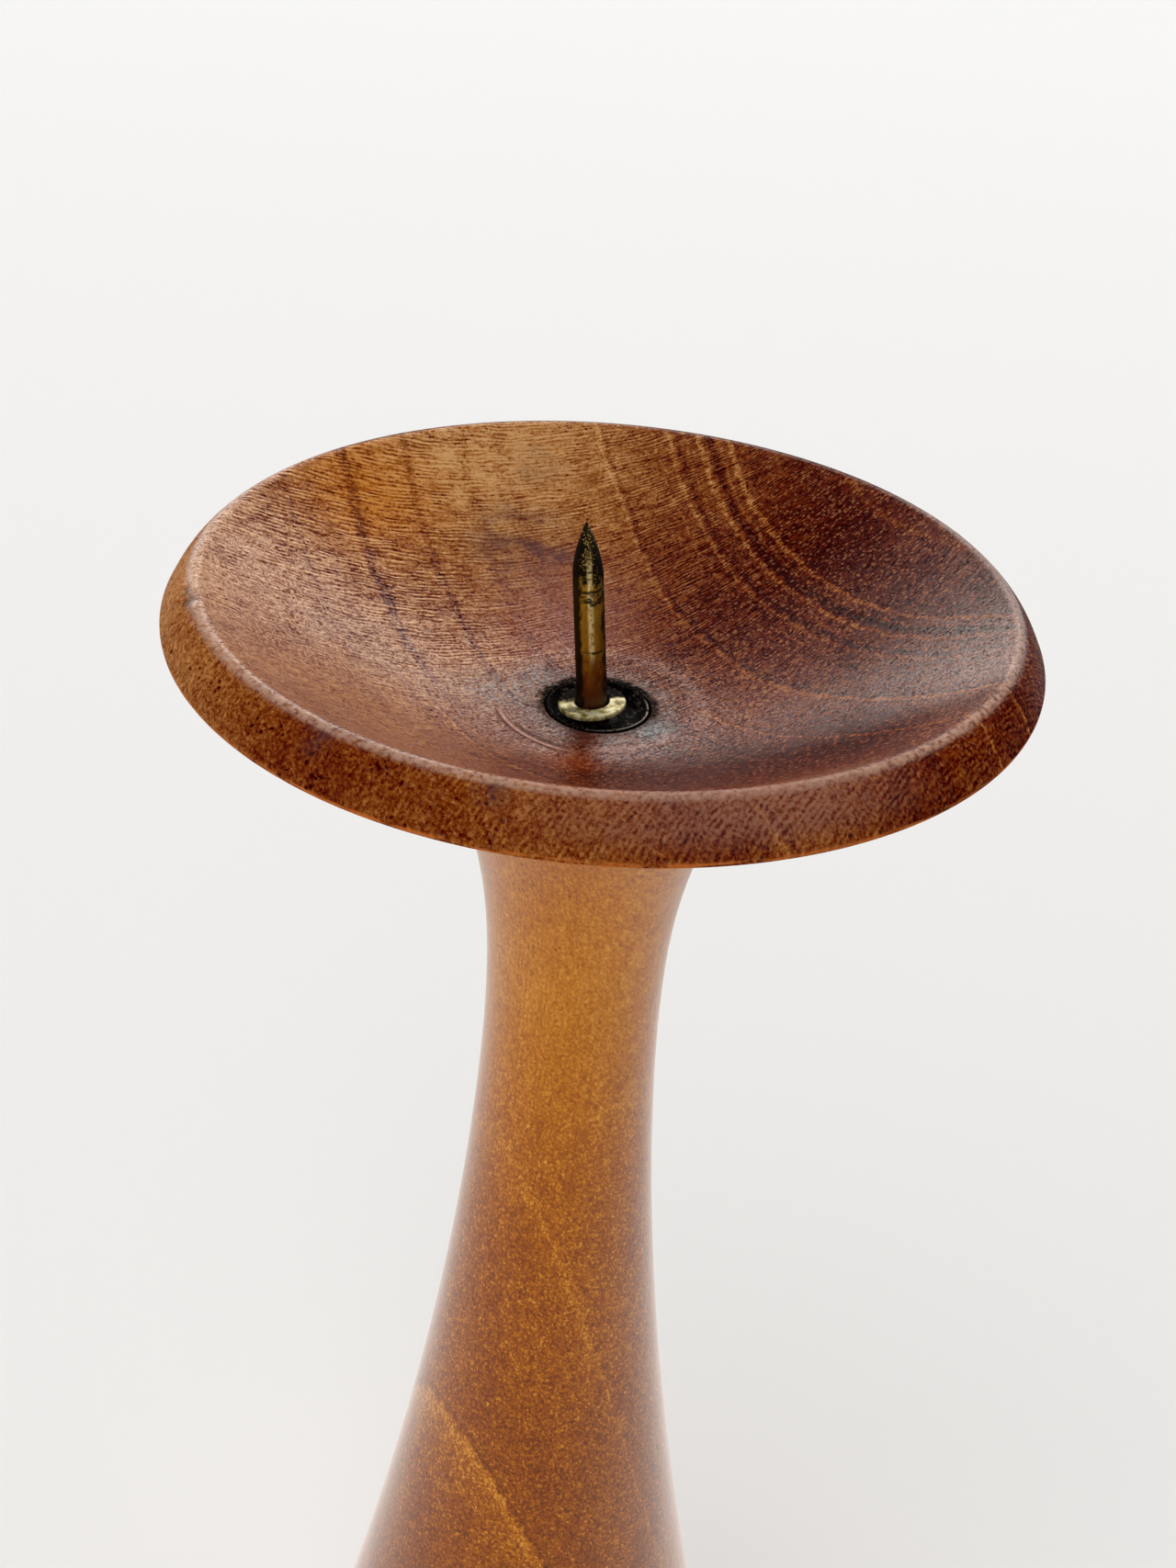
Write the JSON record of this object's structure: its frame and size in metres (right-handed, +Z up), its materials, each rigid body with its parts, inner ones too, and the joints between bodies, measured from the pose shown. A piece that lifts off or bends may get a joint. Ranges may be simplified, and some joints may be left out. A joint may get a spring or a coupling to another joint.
{
  "type": "pricket candlestick",
  "caption": "Turned teak candlestick: a bevelled drip dish on a slim trumpet stem, with a brass spike for one pillar candle.",
  "frame": {"origin": "on the table, under the centre of the foot", "axes": "+Z up the stem; the spike leans towards -X"},
  "size_m": [0.12, 0.12, 0.2896],
  "materials": {
    "dish_teak": "oiled teak with a worn satin sheen, open pores and curved growth rings across the bowl",
    "stem_teak": "oiled teak with a satin sheen, grain along the stem",
    "dowel_beech": "bare fluted beech",
    "cup_iron": "blackened, with a thin bright worn lip",
    "spike_brass": "tarnished brass, brown towards the foot and black at the point",
    "collar_brass": "pale worn brass with olive blotches",
    "felt": "dark green wool felt"
  },
  "bodies": {
    "root": {"drip_dish": "dish_teak", "stem": "stem_teak", "centre_dowel": "dowel_beech", "recess_cup": "cup_iron", "spike": "spike_brass", "spike_collar": "collar_brass", "felt_pad": "felt"}
  },
  "joints": []
}
